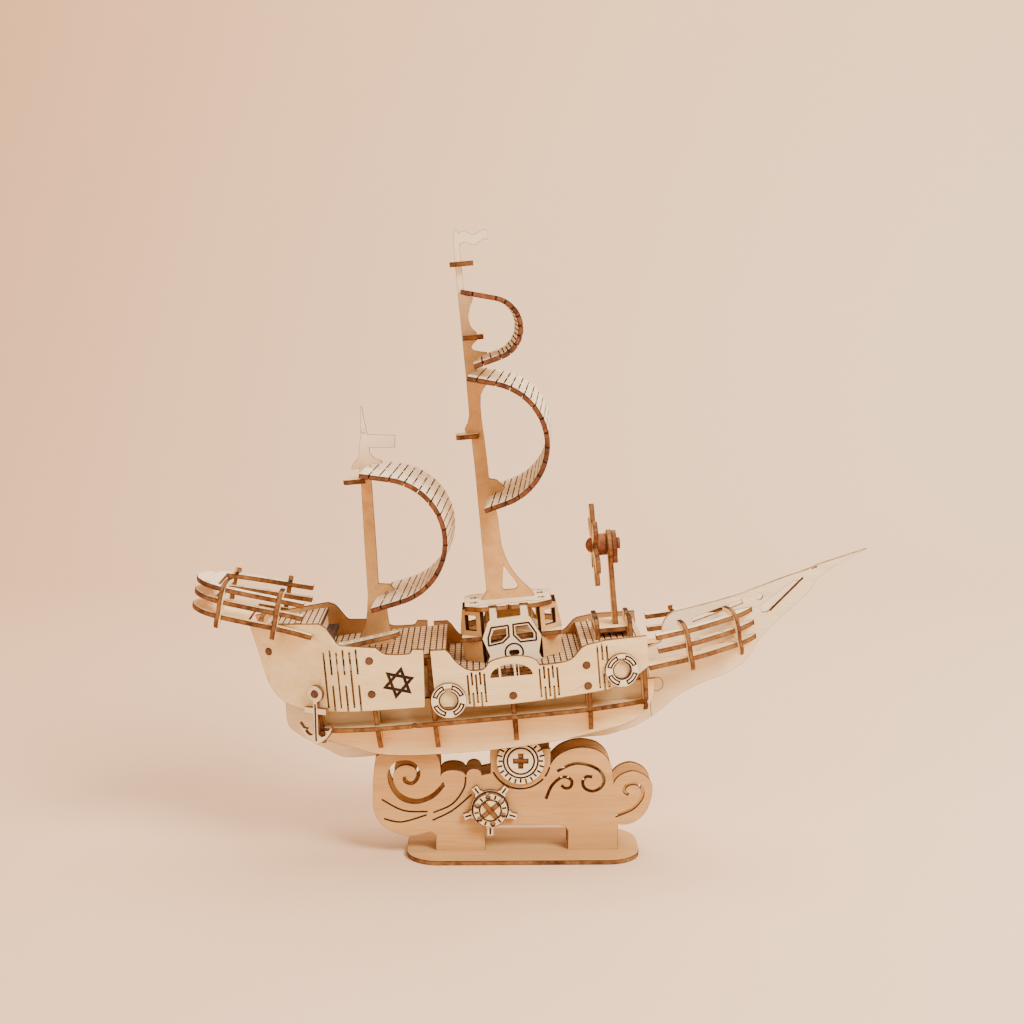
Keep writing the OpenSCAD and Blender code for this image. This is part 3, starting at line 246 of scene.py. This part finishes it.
FACES = {}
for across_hull in (False, True):
    grain = "across" if across_hull else "along"
    FACES["cream", across_hull] = sheet_face("cream_sheet_" + grain, CREAM, CREAM_DARK, across_hull)
    FACES["tan", across_hull] = sheet_face("tan_sheet_" + grain, TAN, TAN_DARK, across_hull)
    FACES["white", across_hull] = sheet_face("white_sheet_" + grain, WHITE, WHITE_DARK, across_hull)
FACES["deck", False] = sheet_face("deck_sheet_painted_shade", DECK_SHADE_PALE, DECK_SHADE_DARK, True)
FACES["inner", False] = sheet_face("panel_inner_face_painted_shade", SHADED_INNER, SHADED_INNER_DARK)
MAST_FACES = {
    "main_mast": sheet_face("main_mast_sheet", TAN, TAN_DARK, True, MAIN_BLEACH),
    "mizzen_mast": sheet_face("mizzen_mast_sheet", TAN, TAN_DARK, True, MIZZEN_BLEACH),
}
FACES["char", False] = sheet_face("charred_face", CHAR_LIGHT, CHAR_DARK)
EDGE = cut_edge("cut_edge", EDGE_PALE, EDGE_BROWN, EDGE_BLACK, 0.44)
EDGE_DARK = cut_edge("cut_edge_dark", *DARK_EDGE, 0.46)
EDGE_LIGHT = cut_edge("cut_edge_light", CREAM_DARK, EDGE_PALE, EDGE_BROWN, 0.40)
ENGRAVED = cut_edge("engraved_line", *LINE, 0.5)


# ---------- sorting a sheet's triangles ----------
DIRECTION_STEPS = 40  # steps in one unit of a normal, when planes are gathered
OFFSET_STEP = 0.1 * MM  # step in a plane's offset
OFF_BOUNDARY = 0.137  # shift that keeps round values away from the rounding's boundary
PARALLEL = 0.999  # least dot product of two faces of one sheet
THINNEST, THICKEST = 0.5 * PLY, 1.3 * PLY  # gap between two faces of one sheet
WITHIN_SHEET = 1.06  # furthest `across` of a triangle that belongs to the sheet
EDGE_TURN = 0.6  # a cut edge's normal keeps below this along the sheet's direction
FLOOR_TURN = 0.95  # an engraved floor's normal keeps above it
PANEL_FACE_TURN = 0.7  # least sideways part of a side panel's face normal
ENGRAVING_AT, ENGRAVING_BAND = 0.7, 0.12  # `across` of an engraved floor, and its tolerance
SLIT_TURN = 0.8  # least fore-and-aft part of a panel slit's wall normal
SAIL_FACE_TURN = 0.75  # least part of a sail face's normal along the middle line's own
SAIL_SLIT_TURN = 0.5  # most sideways part of a sail slit's wall normal


def triangles(me):
    """Corner places, normals and areas of a mesh of triangles, as arrays."""
    count = len(me.polygons)
    normal = np.empty(count * 3)
    area = np.empty(count)
    corner = np.empty(len(me.loops), np.int64)
    place = np.empty(len(me.vertices) * 3)
    me.polygons.foreach_get("normal", normal)
    me.polygons.foreach_get("area", area)
    me.loops.foreach_get("vertex_index", corner)
    me.vertices.foreach_get("co", place)
    return place.reshape(-1, 3)[corner].reshape(count, 3, 3), normal.reshape(-1, 3), area


def to_ship(place):
    """Places turned from the stand's frame into the ship's own level frame."""
    c, s = np.cos(PITCH), np.sin(PITCH)
    return place @ np.array([[c, 0.0, -s], [0.0, 1.0, 0.0], [s, 0.0, c]])


def unturn(place, yaw):
    """Ship places turned back by a sail's yaw in degrees, so that its width lies along Y."""
    c, s = np.cos(np.radians(yaw)), np.sin(np.radians(yaw))
    return place @ np.array([[c, s, 0.0], [-s, c, 0.0], [0.0, 0.0, 1.0]])


def flat_sheets(tri, normal, area, share=0.3):
    """Sorts a flat-sheet node. Triangles are gathered into planes by their rounded direction and
    offset; the big planes are sheet faces. Two big parallel planes one thickness apart make a
    sheet, and `across` is the signed distance from its middle over half the thickness."""
    strongest = np.take_along_axis(normal, np.abs(normal).argmax(1)[:, None], 1)
    folded = normal * np.sign(strongest)
    offset = np.einsum("ij,ij->i", tri.mean(1), folded)
    keys = np.column_stack([np.round(folded * DIRECTION_STEPS + OFF_BOUNDARY),
                            np.round(offset / OFFSET_STEP + OFF_BOUNDARY)])
    _, plane = np.unique(keys, axis=0, return_inverse=True)
    plane = plane.ravel()
    plane_area = np.bincount(plane, area)
    big = plane_area > share * plane_area.max()
    is_face = big[plane]
    across = np.zeros(tri.shape[:2])
    done = is_face.copy()
    found = [(folded[plane == k][0], np.average(offset[plane == k])) for k in np.flatnonzero(big)]
    for direction, low in found:
        for other, high in found:
            gap = high - low
            if other @ direction < PARALLEL or not THINNEST < gap < THICKEST:
                continue
            t = (tri @ direction - (low + high) / 2) / (gap / 2)
            inside = (np.abs(t) < WITHIN_SHEET).all(1)
            here = inside & (np.abs(normal @ direction) < EDGE_TURN) & ~done
            across[here] = t[here]
            done |= here
    floor = ~is_face & np.any([np.abs(normal @ d) > FLOOR_TURN for d, _ in found], axis=0)
    return is_face, floor, across


def panel_breadth(x):
    """Outer half breadth of the side panels at places along the ship, in mm: the running sum of
    each step's length times the tangent of the lean at its middle, measured from amidships."""
    middle = (PANEL_STATIONS[1:] + PANEL_STATIONS[:-1]) / 2
    lean = np.interp(middle, *PANEL_LEAN)
    y = np.concatenate([[0.0], np.cumsum(np.diff(PANEL_STATIONS) * np.tan(np.radians(lean)))])
    known = np.interp(PANEL_AMIDSHIPS, PANEL_STATIONS, y)
    return np.interp(x, PANEL_STATIONS, y - known + PANEL_HALF_BREADTH)


def bent_panel(tri, normal):
    """Sorts a side panel. Its faces stand within 45 degrees of the centre plane; `across` is the
    depth below the panel's outer half breadth, as a share of the thickness."""
    ship = to_ship(tri) / MM
    ship_n = to_ship(normal)
    out = np.sign(ship[..., 1].mean())
    is_face = np.abs(ship_n[:, 1]) > PANEL_FACE_TURN
    outward = is_face & (ship_n[:, 1] * out > 0)
    inward = is_face & ~outward
    across = 1 - 2 * (panel_breadth(ship[..., 0]) - ship[..., 1] * out) / (PLY / MM)
    floor = outward & (np.abs(across.mean(1) - ENGRAVING_AT) < ENGRAVING_BAND)
    slit_wall = ~is_face & (np.abs(ship_n[:, 0]) > SLIT_TURN)
    return outward & ~floor, inward, floor | slit_wall, np.clip(across, -1, 1)


def bent_sail(tri, normal, yaw, pivot_x, centre_x, centre_z, slope, radius):
    """Sorts a sail. Its middle line is a straight lead at a slope, a round belly and a mirrored
    lead; a triangle is a face where its normal follows the middle line's own normal there."""
    pivot = np.array([pivot_x, 0.0, 0.0])
    ship = unturn(to_ship(tri) / MM - pivot, yaw) + pivot
    ship_n = unturn(to_ship(normal), yaw)
    a = np.radians(slope)
    flat = ship[..., [0, 2]] - np.array([centre_x, centre_z])
    angle = np.arctan2(np.abs(flat[..., 1]), flat[..., 0])
    on_lead = angle > np.pi / 2 - a
    lead_n = np.stack([np.full_like(angle, np.sin(a)), np.sign(flat[..., 1]) * np.cos(a)], -1)
    belly_n = flat / np.linalg.norm(flat, axis=-1, keepdims=True)
    line_n = np.where(on_lead[..., None], lead_n, belly_n)
    away = (flat * line_n).sum(-1)
    across = np.clip(away - radius, -1, 1)
    facing = (ship_n[:, [0, 2]] * line_n.mean(1)).sum(-1)
    is_face = np.abs(facing) > SAIL_FACE_TURN
    slit_wall = ~is_face & (np.abs(ship_n[:, 1]) < SAIL_SLIT_TURN)
    return is_face, slit_wall, across


def paint_sheet(name, tone):
    """Gives a CAD node its wood: material slots, one index for each triangle, and the attributes."""
    me = nodes[name].data
    tri, normal, area = triangles(me)
    across_grain = name in ACROSS_GRAIN
    kind = "tan" if name in TAN_AND_SHADED_SHEETS else "white" if name in WHITE_SHEETS else "cream"
    face, edge = FACES[kind, across_grain], EDGE
    # decks take the darkened deck wood, painted shade
    if name in DECKS:
        face = FACES["deck", False]
    if name in CHARRED:
        face, edge = FACES["char", False], EDGE_DARK
    if name in MAST_FACES:
        face = MAST_FACES[name]
    if name in LIGHT_EDGES:
        edge = EDGE_LIGHT
    back = face
    if name in CURVED_SAILS:
        is_face, floor, across = bent_sail(tri, normal, *CURVED_SAILS[name])
        inward = np.zeros(len(tri), bool)
        edge = EDGE_DARK
    elif name in SIDE_PANELS:
        is_face, inward, floor, across = bent_panel(tri, normal)
        # the panels' inner faces take the darker wood, painted shade
        back = FACES["inner", False]
    else:
        is_face, floor, across = flat_sheets(tri, normal, area)
        inward = np.zeros(len(tri), bool)
    index = np.select([is_face, inward, floor], [SLOT_FACE, SLOT_BACK, SLOT_ENGRAVED], SLOT_CUT)
    me.materials.clear()
    for mat in (face, back, edge, ENGRAVED):
        me.materials.append(mat)
    me.polygons.foreach_set("material_index", index.astype(np.int32))
    layer = me.attributes.new("across", "FLOAT", "CORNER")
    layer.data.foreach_set("value", across.ravel().astype(np.float32))
    layer = me.attributes.new("tone", "FLOAT", "FACE")
    layer.data.foreach_set("value", np.full(len(tri), tone, np.float32))


def scorch_rims(name, width):
    """A hair-thin bevel along every cut, in the engraved-line wood, as the laser leaves it."""
    ob = nodes[name]
    weld = ob.modifiers.new("joined", "WELD")
    weld.merge_threshold = WELD_GAP
    rim = ob.modifiers.new("scorch_rim", "BEVEL")
    rim.width = width
    rim.segments = 1
    rim.limit_method = "ANGLE"
    rim.angle_limit = SHARP_ANGLE
    rim.material = SLOT_ENGRAVED
    rim.use_clamp_overlap = False


chance = np.random.default_rng(7)
for sheet_name in sorted(nodes):
    paint_sheet(sheet_name, chance.uniform(0.0, 1.0))
    scorch_rims(sheet_name, SCORCH)


# ---------- studio ----------
# backdrop paper: darker and more orange on the left, paler on the right, painted shade falling off
# away from the key light
PAPER_SHADED_LEFT = (0.82, 0.48, 0.27)
PAPER_LIT_RIGHT = (0.97, 0.74, 0.50)
DAYLIGHT = (1.0, 0.95, 0.88)
WARM = (1.0, 0.87, 0.73)
OVERHEAD = (1.0, 0.95, 0.90)
AIR_COLOUR = (1.0, 0.92, 0.84, 1.0)
AIR_STRENGTH = 0.34


def sweep(depth=3.2, half_width=3.0, back_y=1.15, radius=0.55, height=2.6):
    """Seamless backdrop: a profile of flat floor, quarter round and upright wall carried straight
    along X. The profile's y and z are joined arrays of a line, an arc and a line."""
    turn = np.linspace(0, np.pi / 2, 24)
    y = np.concatenate([[back_y - radius - depth], back_y - radius + radius * np.sin(turn), [back_y]])
    z = np.concatenate([[0.0], radius - radius * np.cos(turn), [height]])
    x = np.linspace(-half_width, half_width, 2)
    grid = np.stack(np.broadcast_arrays(x[:, None], y, z), -1).reshape(-1, 3)
    k = np.arange(len(y) - 1)
    quads = np.stack([k, k + len(y), k + len(y) + 1, k + 1], -1)
    me = bpy.data.meshes.new("studio_sweep")
    me.from_pydata(grid.tolist(), [], quads.tolist())
    me.polygons.foreach_set("use_smooth", np.ones(len(quads), bool))
    ob = bpy.data.objects.new("studio_sweep", me)
    bpy.context.scene.collection.objects.link(ob)
    mat, tree, shader = new_material("studio_paper_painted_shade")
    place = tree.nodes.new("ShaderNodeTexCoord")
    apart = tree.nodes.new("ShaderNodeSeparateXYZ")
    tree.links.new(place.outputs["Object"], apart.inputs["Vector"])
    # paper colour runs along X, darker towards the left: painted shade falling off away from the key
    # light
    share = calc(tree, "ADD", calc(tree, "MULTIPLY", apart.outputs["X"], 0.6), 0.5)
    paper = ramp(tree, share, [(0.1, PAPER_SHADED_LEFT), (0.85, PAPER_LIT_RIGHT)])
    tree.links.new(paper, shader.inputs["Base Color"])
    shader.inputs["Roughness"].default_value = 0.9
    shader.inputs["Specular IOR Level"].default_value = 0.1
    me.materials.append(mat)


def aim(place, target):
    """Rotation that points an object's -Z axis from place at target."""
    z = np.array(place, float) - np.array(target, float)
    z /= np.linalg.norm(z)
    x = np.cross((0, 0, 1), z)
    x /= np.linalg.norm(x)
    y = np.cross(z, x)
    return Matrix(((x[0], y[0], z[0], place[0]), (x[1], y[1], z[1], place[1]),
                   (x[2], y[2], z[2], place[2]), (0, 0, 0, 1)))


def soft_light(name, place, target, size, power, colour):
    """A rectangular soft box, staged outside the object."""
    lamp = bpy.data.lights.new(name, "AREA")
    lamp.shape = "RECTANGLE"
    lamp.size, lamp.size_y = size
    lamp.energy = power
    lamp.color = colour
    ob = bpy.data.objects.new(name, lamp)
    ob.matrix_world = aim(place, target)
    bpy.context.scene.collection.objects.link(ob)


sweep()
soft_light("key_box", (0.9, -0.9, 1.25), (0, 0, 0.12), (0.7, 0.7), 50.0, DAYLIGHT)
soft_light("fill_box", (-1.3, -1.3, 0.8), (0, 0, 0.12), (1.4, 1.2), 19.0, WARM)
soft_light("top_box", (0.1, 0.25, 1.5), (0, 0, 0.1), (1.2, 1.0), 25.0, OVERHEAD)

world = bpy.data.worlds.new("studio_air")
world.use_nodes = True
air = world.node_tree.nodes["Background"]
air.inputs["Color"].default_value = AIR_COLOUR
air.inputs["Strength"].default_value = AIR_STRENGTH
bpy.context.scene.world = world

# ---------- camera ----------
CAMERA_AT = (-21.486 * MM, -650.0 * MM, 239.902 * MM)
RIGHT = (0.999688, -0.024743, 0.003520)
UP = (0.0, 0.140845, 0.990032)
FORWARD = (0.024992, 0.989722, -0.140801)
LENS, SENSOR = 54.84, 36.0  # mm
NEAR_CLIP = 0.01  # m
camera = bpy.data.cameras.new("camera")
camera.lens = LENS
camera.sensor_width = SENSOR
camera.clip_start = NEAR_CLIP
camera_ob = bpy.data.objects.new("camera", camera)
axes = [[RIGHT[i], UP[i], -FORWARD[i], CAMERA_AT[i]] for i in range(3)]
camera_ob.matrix_world = Matrix(axes + [[0, 0, 0, 1]])
bpy.context.scene.collection.objects.link(camera_ob)
bpy.context.scene.camera = camera_ob
